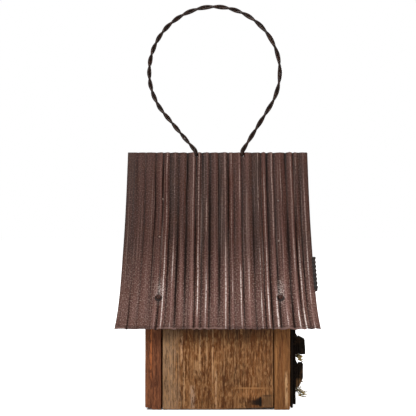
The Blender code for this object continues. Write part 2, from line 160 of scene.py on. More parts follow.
def makeTimberGroup():  # growth rings, fibres, rough-sawn flecks, streaks, weather patches and one knot
    inputs = [("Vector", "Vector", (0, 0, 0)), ("Heart", "Vector", (0, 0, 0)), ("Ring Pitch", "Float", 0.006)]
    inputs += [("Knot", "Vector", (0, 0, 0)), ("Knot Size", "Float", 0.01), ("Seed", "Vector", (0, 0, 0))]
    outputs = ["Rings", "Fibre", "Flecks", "Streaks", "Patches", "Knot"]
    tree, source, target = startGroup("timber", inputs, [(name, "Float") for name in outputs])
    vector = source.outputs["Vector"]
    seeded = vectorMaths(tree, "ADD", vector, source.outputs["Seed"])
    broad = vectorMaths(tree, "MULTIPLY", seeded, (28, 28, 13))
    wander = put(tree, "TexNoise", {"Vector": broad, "Scale": 1.0})
    centred = vectorMaths(tree, "SUBTRACT", wander.outputs["Color"], (0.5, 0.5, 0.5))
    bent = vectorMaths(tree, "ADD", vector, vectorMaths(tree, "MULTIPLY", centred, (0.012, 0.012, 0.0)))
    fromHeart = vectorMaths(tree, "SUBTRACT", bent, source.outputs["Heart"])
    away = vectorMaths(tree, "MULTIPLY", fromHeart, (1, 1, 0.04))
    radius = put(tree, "VectorMath", {0: away}, operation="LENGTH").outputs["Value"]
    toKnot = distanceBetween(tree, bent, source.outputs["Knot"])
    knotWidths = maths(tree, "DIVIDE", toKnot, source.outputs["Knot Size"])
    squared = times(tree, knotWidths, knotWidths)
    knot = maths(tree, "EXPONENT", times(tree, squared, -1.0))
    turns = maths(tree, "DIVIDE", radius, source.outputs["Ring Pitch"])
    phase = maths(tree, "MULTIPLY_ADD", knot, 3.0, turns)
    wave = maths(tree, "SINE", times(tree, phase, math.tau))
    lifted = maths(tree, "MULTIPLY_ADD", wave, 0.5, 0.5)
    tree.links.new(maths(tree, "POWER", lifted, 2.5), target.inputs["Rings"])
    slanted = vectorMaths(tree, "ADD", seeded, vectorMaths(tree, "MULTIPLY", centred, (0.004, 0.004, 0.0)))
    tree.links.new(stretchedNoise(tree, slanted, (820, 820, 55), 4.0, 0.65), target.inputs["Fibre"])
    tree.links.new(stretchedNoise(tree, slanted, (520, 520, 150), 2.0, 0.6), target.inputs["Flecks"])
    tree.links.new(stretchedNoise(tree, slanted, (260, 260, 16), 4.0, 0.65), target.inputs["Streaks"])
    tree.links.new(stretchedNoise(tree, seeded, (38, 38, 16), 4.0, 0.6), target.inputs["Patches"])
    tree.links.new(knot, target.inputs["Knot"])
    return tree


def makeBandGroup():  # a soft upright band or patch of stain or wear at a place along X, between two heights
    inputs = [("Vector", "Vector", (0, 0, 0)), ("Middle", "Float", 0.0), ("Half Width", "Float", 0.002)]
    inputs += [("Low", "Float", 0.0), ("High", "Float", 0.1)]
    tree, source, target = startGroup("band", inputs, [("Mask", "Float")])
    drift = stretchedNoise(tree, source.outputs["Vector"], (60, 60, 35), 3.0)
    apart = put(tree, "SeparateXYZ", {0: source.outputs["Vector"]})
    drifted = maths(tree, "ADD", apart.outputs["X"], swing(tree, drift, 0.003))
    offset = maths(tree, "SUBTRACT", drifted, source.outputs["Middle"])
    across = maths(tree, "DIVIDE", maths(tree, "ABSOLUTE", offset), source.outputs["Half Width"])
    inside = between(tree, across, 1.4, 0.3)
    tall = maths(tree, "SUBTRACT", source.outputs["High"], source.outputs["Low"])
    share = maths(tree, "DIVIDE", maths(tree, "SUBTRACT", apart.outputs["Z"], source.outputs["Low"]), tall)
    level = times(tree, between(tree, share, -0.06, 0.16), between(tree, share, 1.06, 0.84))
    tree.links.new(times(tree, inside, level), target.inputs["Mask"])
    return tree


def makeRustGroup():  # blotches, pits and a fine speckle of rust
    inputs = [("Vector", "Vector", (0, 0, 0)), ("Blotch Scale", "Float", 90.0), ("Speck Scale", "Float", 900.0)]
    outputs = [("Blotches", "Float"), ("Specks", "Float"), ("Height", "Float")]
    tree, source, target = startGroup("rust", inputs, outputs)
    coarse = {"Scale": source.outputs["Blotch Scale"], "Detail": 5.0, "Roughness": 0.65}
    fine = {"Scale": source.outputs["Speck Scale"], "Detail": 3.0, "Roughness": 0.7}
    vector = source.outputs["Vector"]
    blotches = put(tree, "TexNoise", {"Vector": vector, **coarse}).outputs["Fac"]
    specks = put(tree, "TexNoise", {"Vector": vector, **fine}).outputs["Fac"]
    tree.links.new(between(tree, blotches, 0.45, 0.68), target.inputs["Blotches"])
    tree.links.new(specks, target.inputs["Specks"])
    height = maths(tree, "MULTIPLY_ADD", blotches, 0.6, times(tree, specks, 0.4))
    tree.links.new(height, target.inputs["Height"])
    return tree


timberGroup, bandGroup, rustGroup = makeTimberGroup(), makeBandGroup(), makeRustGroup()
quarter = math.radians(90)


plainBoard = {"turn": (0, 0, 0), "knotDark": 0.9, "greyFrom": (-0.3, -0.4), "bands": [], "marks": []}
boardFinishes = {  # bands are (middle, half width, low, high, colour), and marks also have a share
    "doorWood": {
        "dark": (52, 29, 10), "middle": (110, 64, 27),
        "pale": (172, 128, 84), "grey": (166, 132, 100),
        "heart": (0.010, -0.190, 0.0), "pitch": 0.0095, "seed": (0.0, 0.0, 0.0),
        "knot": (0.060, -0.076, 0.009), "knotSize": 0.010, "knotDark": 0.35, "fuzz": 1.0,
        "greyFrom": (-0.043, -0.053), "grime": (0.079, 0.105),
        "bands": [
            (-0.0430, 0.0014, 0.055, 0.092, (206, 158, 116)), (-0.0400, 0.0012, 0.002, 0.060, (190, 146, 102)),
            (-0.0300, 0.0028, 0.000, 0.030, (172, 140, 116)), (-0.0210, 0.0012, 0.038, 0.094, (190, 146, 104)),
            (-0.0130, 0.0009, 0.050, 0.100, (184, 140, 98)), (-0.0060, 0.0009, 0.030, 0.104, (186, 144, 104)),
            (-0.0020, 0.0013, 0.000, 0.048, (190, 148, 108)), (-0.0255, 0.0030, 0.040, 0.060, (164, 122, 82)),
            (-0.0530, 0.0008, 0.000, 0.100, (96, 64, 38)), (-0.0480, 0.0008, 0.010, 0.085, (92, 58, 30)),
            (0.0080, 0.0006, 0.040, 0.112, (150, 110, 72)), (0.0210, 0.0006, 0.030, 0.112, (156, 116, 78)),
            (0.0420, 0.0200, 0.014, 0.028, (142, 92, 50)), (0.0300, 0.0060, 0.002, 0.009, (150, 106, 64)),
        ],
        "marks": [
            (0.0400, 0.0200, 0.0252, 0.0272, (160, 114, 70), 0.7),  # the torn edge above the corner
            (0.0590, 0.0068, 0.0030, 0.0176, (104, 74, 46), 0.7),  # the wedge round the knot
            (0.0590, 0.0075, 0.0160, 0.0185, (44, 28, 14), 0.6),
            (0.0450, 0.0062, 0.0060, 0.0120, (30, 17, 7), 0.85),  # the knot's dark smear
            (0.0480, 0.0030, 0.0050, 0.0145, (22, 12, 5), 0.8),
            (0.0508, 0.0017, 0.0035, 0.0165, (6, 4, 2), 0.95),  # the split, painted near black: painted shade in the crack
        ],
    },
    "backBoardWood": {
        "dark": (50, 25, 12), "middle": (110, 63, 38),
        "pale": (150, 92, 58), "grey": (112, 70, 48),
        "heart": (-0.120, -0.150, 0.0), "pitch": 0.0075, "seed": (0.31, 0.2, 0.11),
        "knot": (-0.075, 0.020, 0.17), "knotSize": 0.012, "fuzz": 0.75,
        "grime": (0.080, 0.160),
        "bands": [
            (-0.0790, 0.0010, 0.035, 0.110, (190, 108, 58)), (-0.0730, 0.0012, 0.000, 0.090, (82, 44, 24)),
        ],
    },
    "frontBoardWood": {
        "dark": (60, 32, 12), "middle": (122, 78, 40),
        "pale": (158, 108, 62), "grey": (150, 108, 70),
        "heart": (0.115, -0.150, 0.0), "pitch": 0.0080, "seed": (0.52, 0.07, 0.4),
        "knot": (0.070, 0.030, 0.22), "knotSize": 0.012, "fuzz": 0.35,
        "grime": (0.080, 0.160),
        "bands": [
            (0.0822, 0.0018, 0.002, 0.046, (198, 156, 112)), (0.0700, 0.0008, 0.000, 0.300, (160, 112, 66)),
            (0.0765, 0.0020, 0.020, 0.090, (104, 60, 28)), (0.0790, 0.0010, 0.000, 0.040, (110, 66, 34)),
        ],
    },
    "farSideWood": {
        "dark": (58, 36, 19), "middle": (118, 78, 47),
        "pale": (160, 120, 86), "grey": (136, 110, 88),
        "heart": (-0.020, 0.210, 0.0), "pitch": 0.0080, "seed": (0.13, 0.9, 0.33),
        "knot": (0.020, 0.076, 0.075), "knotSize": 0.011, "fuzz": 0.9,
        "greyFrom": (0.060, 0.010), "grime": (0.090, 0.120),
    },
    "floorWood": {
        "dark": (74, 46, 25), "middle": (132, 92, 57),
        "pale": (172, 132, 92), "grey": (150, 120, 90),
        "heart": (-0.120, 0.015, 0.0), "pitch": 0.0070, "turn": (0, quarter, 0), "seed": (0.7, 0.3, 0.2),
        "knot": (-0.01, 0.03, 0.02), "knotSize": 0.010, "fuzz": 0.6,
        "grime": (0.2, 0.3),
    },
}


def bandMask(tree, placed, middle, half, low, high):
    values = {"Vector": placed, "Middle": middle, "Half Width": half, "Low": low, "High": high}
    return useGroup(tree, bandGroup, values)["Mask"]


def makeBoardFinish(name, own):
    recipe = {**plainBoard, **own}
    material, tree, shader = startMaterial(name, 0.85, 0.25)
    placed = objectPlace(tree)
    turned = put(tree, "Mapping", {"Vector": placed, "Rotation": recipe["turn"]}).outputs[0]
    values = {"Vector": turned, "Heart": recipe["heart"], "Ring Pitch": recipe["pitch"], "Knot": recipe["knot"]}
    timber = useGroup(tree, timberGroup, {**values, "Knot Size": recipe["knotSize"], "Seed": recipe["seed"]})
    flecks, fibre, streaks = timber["Flecks"], timber["Fibre"], timber["Streaks"]
    dark, middle, pale, grey = (paint(*recipe[tone]) for tone in ("dark", "middle", "pale", "grey"))
    fuzz = recipe["fuzz"]
    apart = put(tree, "SeparateXYZ", {0: placed})
    ragged = swing(tree, streaks, 0.05)
    fromBack = maths(tree, "ADD", apart.outputs["X"], ragged)
    fromGround = maths(tree, "ADD", apart.outputs["Z"], ragged)
    colour = layered(tree, middle, [
        (streaks, 0.46, 0.60, 0.35, pale), (fromBack, *recipe["greyFrom"], 0.85, grey),
        (streaks, 0.44, 0.34, 0.45, dark), (timber["Patches"], 0.52, 0.68, 0.30, dark),
        (timber["Rings"], 0.0, 1.0, 0.22, dark),
    ])
    for *band, tone in recipe["bands"]:
        patchy = times(tree, bandMask(tree, placed, *band), between(tree, flecks, 0.32, 0.48))
        colour = tinted(tree, colour, patchy, 0.85, paint(*tone))
    colour = layered(tree, colour, [
        (flecks, 0.52, 0.64, 0.55 * fuzz, pale), (flecks, 0.47, 0.36, 0.50 * fuzz, dark),
        (fibre, 0.53, 0.63, 0.35, pale), (fibre, 0.48, 0.37, 0.60, dark),
        (timber["Knot"], 0.35, 0.9, recipe["knotDark"], dark),
    ])
    for *band, tone, share in recipe["marks"]:
        colour = tinted(tree, colour, bandMask(tree, placed, *band), share, paint(*tone))
    # darker towards the top, under the eave: painted shade of the eave's shadow, with grime
    colour = layered(tree, colour, [(fromGround, *recipe["grime"], 0.95, dark)])
    colour = tinted(tree, colour, readAttribute(tree, "wear"), 0.45, pale)
    endMaterial(tree, shader, colour, maths(tree, "MULTIPLY_ADD", flecks, 1.2, fibre), 0.0010, 1.0)
    return material


charTones = {"black": paint(5, 3, 2), "bare": paint(92, 66, 42), "edge": paint(50, 36, 24)}


def makeCharFinish(name, turn, brown, pale, bareBelow=0.0):  # blackened timber, brown where it has rubbed off
    material, tree, shader = startMaterial(name, 0.8, 0.06)
    placed = objectPlace(tree)
    turned = put(tree, "Mapping", {"Vector": placed, "Rotation": turn}).outputs[0]
    values = {"Vector": turned, "Heart": (0.2, 0.1, 0), "Ring Pitch": 0.006, "Knot": (9, 9, 9), "Knot Size": 0.01}
    timber = useGroup(tree, timberGroup, values)
    checks = vectorMaths(tree, "MULTIPLY", turned, (160, 160, 70))
    cells = put(tree, "TexVoronoi", {"Vector": checks, "Scale": 1.0}, feature="DISTANCE_TO_EDGE")
    cracks = cells.outputs["Distance"]
    colour = blended(tree, between(tree, timber["Streaks"], 0.35, 0.7), charTones["black"], pale)
    apart = put(tree, "SeparateXYZ", {0: placed})
    ragged = maths(tree, "MULTIPLY_ADD", timber["Flecks"], 0.004, apart.outputs["Z"])
    under = between(tree, ragged, bareBelow + 0.003, bareBelow - 0.001)
    rubbed = maths(tree, "MAXIMUM", between(tree, timber["Patches"], 0.56, 0.70), under)
    colour = tinted(tree, colour, rubbed, brown, charTones["bare"])
    colour = tinted(tree, colour, readAttribute(tree, "wear"), 0.2 * (1 + brown), charTones["edge"])
    height = maths(tree, "MULTIPLY_ADD", timber["Fibre"], 0.6, between(tree, cracks, 0.0, 0.12))
    endMaterial(tree, shader, colour, height, 0.0006, 0.8)
    return material


tinFinish = {
    # low is painted light, the lower flare paler as if lit from above; bare is a near-white painted highlight for
    # the crest lines and the rub above the big nails; sheen is a painted highlight on the crests; the colour for
    # the eave's edge is a painted highlight along it
    "groove": paint(18, 8, 5), "panel": paint(50, 31, 24), "warm": paint(64, 35, 27), "crest": paint(138, 117, 108),
    "low": paint(98, 66, 58), "bare": paint(232, 220, 212), "rust": paint(70, 40, 24), "lip": paint(120, 92, 84),
    "sheen": paint(132, 96, 88),
    "lowFrom": (0.110, 0.215), "dirtyEave": (0.2385, 0.2405), "eaveLip": (0.2414, 0.2425),  # metres down the slope
    "ring": (0.0050, 0.0042), "rub": (0.0085, 0.0),  # metres from a big nail; the ring is a painted shadow round its head
    "rubAbove": 0.010, "rubAcross": 0.001, "rubSquash": 0.35,
}


def makeTinFinish(nailShadows):  # thin brown coating, with painted shade and dirt in the grooves, painted highlights along the crests and the eave's edge, and painted light on the lower flare
    recipe = tinFinish
    groove, crest = recipe["groove"], recipe["crest"]
    material, tree, shader = startMaterial("creasedTin", 0.5, 0.12)
    crease, rubbed, down, tone = (readAttribute(tree, name) for name in ("crease", "rubbed", "down", "tone"))
    apart = put(tree, "SeparateXYZ", {0: objectPlace(tree)})
    flat = put(tree, "CombineXYZ", {0: apart.outputs["X"], 1: down, 2: 0.0}).outputs[0]
    lines = stretchedNoise(tree, flat, (560, 5, 1), 3.0, 0.6)
    broad = stretchedNoise(tree, flat, (45, 14, 1), 3.0, 0.6)
    pebble = stretchedNoise(tree, flat, (640, 520, 1), 2.0, 0.6)
    rust = useGroup(tree, rustGroup, {"Vector": flat, "Blotch Scale": 60.0, "Speck Scale": 900.0})
    farDown = maths(tree, "ABSOLUTE", down)
    low = between(tree, farDown, *recipe["lowFrom"])
    panelTone = maths(tree, "MULTIPLY_ADD", tone, 0.5, times(tree, broad, 0.6))
    colour = blended(tree, between(tree, panelTone, 0.30, 0.80), recipe["panel"], recipe["warm"])
    # painted light: the lower flare made paler, as lit from above
    colour = tinted(tree, colour, low, 0.75, recipe["low"])
    # shares of a painted sheen on the crests and of painted glints on the pebbled grain, both stronger on the lower
    # flare
    crestSheenShare = maths(tree, "MULTIPLY_ADD", low, 0.50, 0.25)
    bright = maths(tree, "MULTIPLY_ADD", low, 0.50, 0.18)
    # the crease steps into the groove tone are painted shade with dirt in the grooves
    colour = layered(tree, colour, [
        (crease, 0.0, 0.7, crestSheenShare, recipe["sheen"]), (crease, 0.10, -0.45, 0.50, groove),
        (rust["Blotches"], 0.0, 1.0, 0.25, recipe["rust"]), (lines, 0.46, 0.36, 0.50, groove),
        (lines, 0.57, 0.66, 0.30, crest), (pebble, 0.48, 0.36, 0.42, groove),
        (pebble, 0.52, 0.66, bright, crest), (crease, -0.25, -0.80, 0.90, groove),
    ])
    # painted highlights along the crest lines, running from the crest tone to near white towards the eave
    bare = blended(tree, low, crest, recipe["bare"])
    crestHighlightLines = times(tree, between(tree, rubbed, 0.40, 0.90), between(tree, pebble, 0.36, 0.54))
    colour = tinted(tree, colour, crestHighlightLines, 0.9, bare)
    squash = recipe["rubSquash"]
    squashed = vectorMaths(tree, "MULTIPLY", flat, (1, squash, 1))
    for x, distance in nailShadows:  # rubbed just above each big nail, and a painted shadow right round its head, reaching furthest below it
        above = (x + recipe["rubAcross"], squash * (distance - math.copysign(recipe["rubAbove"], distance)), 0.0)
        away = distanceBetween(tree, squashed, above)
        handled = times(tree, between(tree, away, *recipe["rub"]), between(tree, pebble, 0.44, 0.58))
        colour = tinted(tree, colour, handled, 0.36, bare)
        gap = distanceBetween(tree, flat, (x, distance, 0.0))
        colour = tinted(tree, colour, between(tree, gap, *recipe["ring"]), 0.90, groove)
    # a band just above the eave darkened towards the groove tone
    colour = tinted(tree, colour, between(tree, farDown, *recipe["dirtyEave"]), 0.3, groove)
    # a painted highlight along the eave's edge
    lip = times(tree, between(tree, farDown, *recipe["eaveLip"]), between(tree, broad, 0.45, 0.56))
    colour = tinted(tree, colour, lip, 0.6, recipe["lip"])
    gloss = maths(tree, "MULTIPLY_ADD", lines, 0.15, times(tree, pebble, 0.5))
    tree.links.new(maths(tree, "ADD", gloss, 0.15), shader.inputs["Roughness"])
    height = maths(tree, "MULTIPLY_ADD", lines, 0.5, times(tree, pebble, 0.8))
    endMaterial(tree, shader, colour, height, 0.0006, 0.8)
    return material


def makeRustedSteel(name, dark, rusty, bright, metallic, roughness, scale=1.0):
    material, tree, shader = startMaterial(name, roughness, 0.25, metallic)
    scales = {"Blotch Scale": 260.0 * scale, "Speck Scale": 1500.0 * scale}
    rust = useGroup(tree, rustGroup, {"Vector": objectPlace(tree), **scales})
    colour = blended(tree, rust["Blotches"], dark, rusty)
    colour = tinted(tree, colour, between(tree, rust["Specks"], 0.55, 0.75), 0.6, bright)
    tree.links.new(maths(tree, "MULTIPLY_ADD", rust["Specks"], 0.35, roughness - 0.15), shader.inputs["Roughness"])
    endMaterial(tree, shader, colour, rust["Height"], 0.0003, 0.7)
    return material


strawTones = {"olive": paint(66, 50, 10), "yellow": paint(156, 128, 44), "crack": paint(44, 34, 10)}


def makeStrawFinish():
    material, tree, shader = startMaterial("dryStraw", 0.55)
    placed = objectPlace(tree)
    tone = put(tree, "TexNoise", {"Vector": placed, "Scale": 260.0, "Detail": 2.0}).outputs["Fac"]
    fibre = put(tree, "TexNoise", {"Vector": placed, "Scale": 1900.0, "Detail": 3.0}).outputs["Fac"]
    colour = blended(tree, between(tree, tone, 0.38, 0.62), strawTones["olive"], strawTones["yellow"])
    colour = tinted(tree, colour, between(tree, fibre, 0.5, 0.3), 0.6, strawTones["crack"])
    endMaterial(tree, shader, colour, fibre, 0.0002, 0.6)
    return material


boardMaterials = {name: makeBoardFinish(name, recipe) for name, recipe in boardFinishes.items()}
upGrain, crossGrain = (0, 0, 0), (quarter, 0, 0)
charUpright = makeCharFinish("charredPlank", upGrain, 0.10, paint(14, 8, 5))
charAcross = makeCharFinish("charredRail", crossGrain, 0.3, paint(22, 14, 9))
charBlock = makeCharFinish("charredBlock", crossGrain, 0.8, paint(36, 26, 18))
charBranch = makeCharFinish("charredBranch", crossGrain, 0.85, paint(30, 21, 14), 0.034)
wireTones = (paint(28, 17, 12), paint(52, 31, 21), paint(104, 82, 70))  # dark, rusty and bright
nailTones = (paint(44, 23, 16), paint(70, 39, 29), paint(150, 118, 104))
bradTones = (paint(120, 104, 96), paint(150, 120, 104), paint(226, 214, 208))
clipTones = (paint(20, 11, 8), paint(42, 24, 18), paint(84, 58, 50))
wireMaterial = makeRustedSteel("oxidisedWire", *wireTones, 0.35, 0.30)
nailMaterial = makeRustedSteel("rustedNail", *nailTones, 0.35, 0.35)
brightNailMaterial = makeRustedSteel("rubbedBrad", *bradTones, 0.7, 0.3)
clipMaterial = makeRustedSteel("darkClip", *clipTones, 0.1, 0.5, 0.5)
strawMaterial = makeStrawFinish()
print("finishes made")


def added(name, data):
    made = bpy.data.objects.new(name, data)
    bpy.context.scene.collection.objects.link(made)
    return made


def meshFrom(name, bm):
    mesh = bpy.data.meshes.new(name)
    bm.to_mesh(mesh)
    bm.free()
    return mesh


def finished(name, bm, body, material, nodes, sharpAbove):
    mesh = meshFrom(name, bm)
    mesh.materials.append(material)
    mesh.shade_smooth()
    mesh.set_sharp_from_angle(angle=math.radians(sharpAbove))
    piece = added(name, mesh)
    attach(piece, body)
    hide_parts(*nodes)
    return piece


def pieceName(node):  # a part's name in this file's style
    words = node.split("_")
    return words[0] + "".join(word.capitalize() for word in words[1:])


def evaluated(maker):  # a working object as a bmesh, with its modifiers or bevel applied
    graph = bpy.context.evaluated_depsgraph_get()
    graph.update()
    bm = bmesh.new()
    bm.from_mesh(bpy.data.meshes.new_from_object(maker.evaluated_get(graph)))
    bpy.data.objects.remove(maker)
    return bm


def weldedCopy(node):
    bm = bmesh.new()
    bm.from_mesh(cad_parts[node].data)
    bmesh.ops.remove_doubles(bm, verts=bm.verts, dist=0.01 * mm)
    for layer in list(bm.loops.layers.uv):
        bm.loops.layers.uv.remove(layer)
    return bm


def gridded(bm, voxel):  # the same solid as an even grid of small faces
    maker = added("working", meshFrom("working", bm))
    grid = maker.modifiers.new("grid", "REMESH")
    grid.mode = "VOXEL"
    grid.voxel_size = voxel
    return evaluated(maker)


fullWear = 0.3 * mm  # a place that lost this much counts as fully worn


def rubEdges(bm, rounds):  # soften the corners and remember how much each place lost
    bm.verts.index_update()
    before = [vert.co.copy() for vert in bm.verts]
    everyAxis = {"use_axis_x": True, "use_axis_y": True, "use_axis_z": True}
    for _ in range(rounds):
        bmesh.ops.smooth_vert(bm, verts=bm.verts, factor=0.5, **everyAxis)
    wear = bm.verts.layers.float.new("wear")
    for vert in bm.verts:
        vert[wear] = min(1.0, (vert.co - before[vert.index]).length / fullWear)


def roughen(bm, amounts, seed):  # amounts are (size, stretch) pairs: lift along the normal, in metres
    bm.normal_update()
    lifts = []
    for vert in bm.verts:
        lift = 0.0
        for size, stretch in amounts:
            place = Vector((vert.co.x * stretch[0], vert.co.y * stretch[1], vert.co.z * stretch[2]))
            lift += size * noise.noise(place + Vector((seed, seed * 0.7, seed * 0.3)))
        lifts.append(lift)
    for vert, lift in zip(bm.verts, lifts):
        vert.co += vert.normal * lift


def thread(splines, radius, sides):  # round rods along lists of points, with closed ends
    curve = bpy.data.curves.new("working", "CURVE")
    curve.dimensions = "3D"
    curve.bevel_depth = radius
    curve.bevel_resolution = sides // 2 - 2
    curve.use_fill_caps = True
    for points, sizes in splines:
        spline = curve.splines.new("POLY")
        spline.points.add(len(points) - 1)
        for target, point, size in zip(spline.points, points, sizes):
            target.co = (*point, 1.0)
            target.radius = size
    bm = evaluated(added("working", curve))
    bmesh.ops.remove_doubles(bm, verts=bm.verts, dist=0.001 * mm)
    return bm


roofTin = {
    "ridge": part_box("roof_sheet")[1].z,
    "ends": (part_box("roof_sheet")[0].x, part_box("roof_sheet")[1].x),
    "ridgeRadius": 2 * mm,
    "slopes": ((0, 76), (40, 74.5), (85, 70), (118, 63.5), (180, 59.5), (207, 47), (225, 37), (245, 26)),
    "folds": (  # groove and crest along the ridge, in mm, and how sharp the crest is
        (-104, -99, 0.15), (-93, -87, 0.35), (-80, -73, 0.45), (-70, -65, 0.75), (-61, -55, 0.9), (-50, -44, 0.4),
        (-39.5, -31, 0.8), (-27.5, -24, 0.9), (-20, -14, 1.0), (-10, -3, 0.35), (1.5, 9.5, 0.7), (14, 17.5, 0.7),
        (21, 28, 1.0), (31, 38, 0.5), (45, 52, 0.6), (56, 60, 0.75), (63.5, 70, 0.95), (73, 81, 0.65),
        (88, 94.5, 0.75), (98.5, 101, 0.85), (106, 111, 0.85),
    ),
    "plainStrip": -82,
    "creaseHeight": 1.3 * mm,
    "settles": 12 * mm,  # the creases wander fully from here down
    "deepens": 35 * mm,  # and have their full height from here down
    "frays": 8 * mm,  # the eave's ragged end
    "line": 0.8 * mm,
    "widest": 1.6 * mm,
    "sheet": 0.6 * mm,
    "down": 3.6 * mm,
    "seed": 4,
}


def slopeAt(distance):
    steepest = math.radians(roofTin["slopes"][0][1])
    if distance < roofTin["ridgeRadius"] * steepest:
        return distance / roofTin["ridgeRadius"]
    for (near, slope), (far, nextSlope) in zip(roofTin["slopes"], roofTin["slopes"][1:]):
        if distance <= far * mm:
            return math.radians(slope + (distance / mm - near) / (far - near) * (nextSlope - slope))
    return math.radians(roofTin["slopes"][-1][1])


def sectionPoints(distances, top):  # (y, z, slope) at each distance down from the ridge
    points, y, z, passed, step = [], 0.0, top, 0.0, 0.1 * mm
    for distance in distances:
        while passed + step <= distance + 1e-9:
            slope = slopeAt(passed + step / 2)
            y += step * math.cos(slope)
            z -= step * math.sin(slope)
            passed += step
        points.append((y, z, slopeAt(distance)))
    return points


def roofColumns():  # (x, crease height, sharpness of the crest that it stands on, tone) across the sheet
    rng = random.Random(roofTin["seed"])
    low, high = roofTin["ends"]
    line = roofTin["line"]
    folds = [(groove * mm, crest * mm, sharp) for groove, crest, sharp in roofTin["folds"]]
    half, torn, clear = roofSlots["half"], roofSlots["torn"], roofSlots["clear"]
    marks = [low]
    for groove, crest, _ in folds:
        marks += [groove - line, groove, groove + line, crest - line, crest, crest + line]
    for leg in hangerWire["legs"]:
        kept = [mark for mark in marks if abs(mark - leg) > clear]
        marks = kept + [leg - half, leg + half, leg + half + torn]
    marks = sorted(mark for mark in marks if low <= mark < high - line) + [high]
    places = [low]
    for before, after in zip(marks, marks[1:]):
        count = max(1, math.ceil((after - before) / roofTin["widest"]))
        places += [before + (after - before) * step / count for step in range(1, count + 1)]
    tilts = [rng.uniform(0.6, 1.2) for _ in folds]
    tones = [rng.uniform(0.0, 1.0) for _ in folds]
    columns = []
    for x in places:
        crease, sharpness, tone = 0.0, 0.0, 0.4
        for index, (groove, crest, sharp) in enumerate(folds):
            following = folds[index + 1][0] if index + 1 < len(folds) else high + 4 * mm
            deep = 0.45 if groove < roofTin["plainStrip"] * mm else 1.0
            if groove <= x < following:
                rise = (x - groove) / (crest - groove) if x < crest else (following - x) / (following - crest)
                crease += deep * tilts[index] * 0.40 * -math.cos(math.pi * rise)
                tone = tones[index]
            crease -= max(deep, 0.7) * 0.60 * math.exp(-(((x - groove) / line) ** 2))
            bead = math.exp(-(((x - crest) / line) ** 2))
            crease += max(deep, 0.5) * 0.60 * sharp * bead
            sharpness = max(sharpness, sharp * bead)
        columns.append((x, crease, sharpness, tone))
    return columns


def makeRoof(nailPlaces):
    columns = roofColumns()
    bend = roofTin["ridgeRadius"] * math.radians(roofTin["slopes"][0][1])
    near = [0.0, bend / 2, bend] + [bend + step * mm for step in (1, 2, 3, 4, 5.5, 7, 9)]
    reach = roofTin["slopes"][-1][0] * mm
    rest = round((reach - near[-1]) / roofTin["down"])
    distances = near + [near[-1] + (reach - near[-1]) * (step + 1) / rest for step in range(rest)]
    top = roofTin["ridge"] - roofTin["creaseHeight"] * 0.5 - roofTin["sheet"] / 2
    section = sectionPoints(distances, top)
    rows = [(-1, i) for i in range(len(section) - 1, 0, -1)] + [(1, i) for i in range(len(section))]
    bm = bmesh.new()
    bmesh.ops.create_grid(bm, x_segments=len(columns) - 1, y_segments=len(rows) - 1, size=0.5)
    creaseLayer = bm.verts.layers.float.new("crease")
    # the rubbed attribute holds how strong the painted highlight along each crest is
    crestHighlightLayer = bm.verts.layers.float.new("rubbed")
    downLayer = bm.verts.layers.float.new("down")
    toneLayer = bm.verts.layers.float.new("tone")
    for vert in bm.verts:
        start, crease, sharp, tone = columns[round((vert.co.x + 0.5) * (len(columns) - 1))]
        side, index = rows[round((vert.co.y + 0.5) * (len(rows) - 1))]
        distance = distances[index]
        y, z, slope = section[index]
        settled = min(1.0, distance / roofTin["settles"])
        x = start + settled * 0.9 * mm * noise.noise(Vector((start * 30, distance * side * 16, 1.3)))
        x += settled * 0.30 * mm * noise.noise(Vector((start * 130, distance * side * 60, 2.7)))
        x = start if start in roofTin["ends"] else x
        crease *= 0.85 + 0.9 * noise.noise(Vector((start * 70, distance * side * 10, 6.1)))
        for nailX, nailDistance, nailSide, size in nailPlaces:
            if nailSide == side:
                gap = math.hypot(x - nailX, distance - nailDistance)
                crease += (-0.35 - crease) * math.exp(-((gap / size) ** 2))
        lift = crease * roofTin["creaseHeight"] * (0.5 + 0.5 * min(1.0, distance / roofTin["deepens"]))
        lift += 0.25 * mm * noise.noise(Vector((x * 60, distance * side * 30, 3.1)))
        lift += 0.10 * mm * noise.noise(Vector((x * 300, distance * side * 90, 8.1)))
        fray = 0.9 * mm * noise.noise(Vector((x * 60, side, 5.0)))
        fray += 0.5 * mm * noise.noise(Vector((x * 190, side, 9.0)))
        share = max(0.0, 1 - (reach - distance) / roofTin["frays"])
        y += fray * share * math.cos(slope)
        z -= fray * share * math.sin(slope)
        vert.co = (x, side * (y + lift * math.sin(slope)), z + lift * math.cos(slope))
        vert[creaseLayer] = crease
        # how strongly each stretch of crest gets its painted highlight
        highlightStrength = 0.95 + 1.0 * noise.noise(Vector((start * 90, distance * side * 22, 4.4)))
        vert[crestHighlightLayer] = max(0.0, min(1.0, sharp * highlightStrength))
        vert[downLayer] = distance * side
        vert[toneLayer] = tone
    punchSlots(bm, downLayer)
    # the painted shadow round each big nail's head is centred this far below the head
    shadowDrop = 1.3 * mm
    rings = [(x, side * (distance + shadowDrop)) for x, distance, side, size in nailPlaces if size == bigDent]
    piece = finished("tinRoof", bm, "house", makeTinFinish(rings), ["roof_sheet"], 60)
    thickness = piece.modifiers.new("thickness", "SOLIDIFY")
    thickness.thickness = roofTin["sheet"]
    thickness.offset = 0.0
    return piece


hangerWire = {
    "legs": (-28.2 * mm, 31.9 * mm),
    "axis": 307 * mm,
    "knee": 314.5 * mm,
    "kneeRadius": 8 * mm,
    "centre": Vector((-4 * mm, 418.5 * mm)),
    "loop": 85.4 * mm,
    "wire": 1.5 * mm,
    "twist": 1.49 * mm,
    "halfTurns": 27,
    "uneven": 0.19,
    "lag": (0.53, 0.08, 0.013),
    "stations": 12,
    "toeBend": 1.6 * mm,
    "toe": 8 * mm,
}


roofSlots = {"half": 1.75 * mm, "down": 6.5 * mm, "torn": 1.5 * mm, "clear": 2.4 * mm}


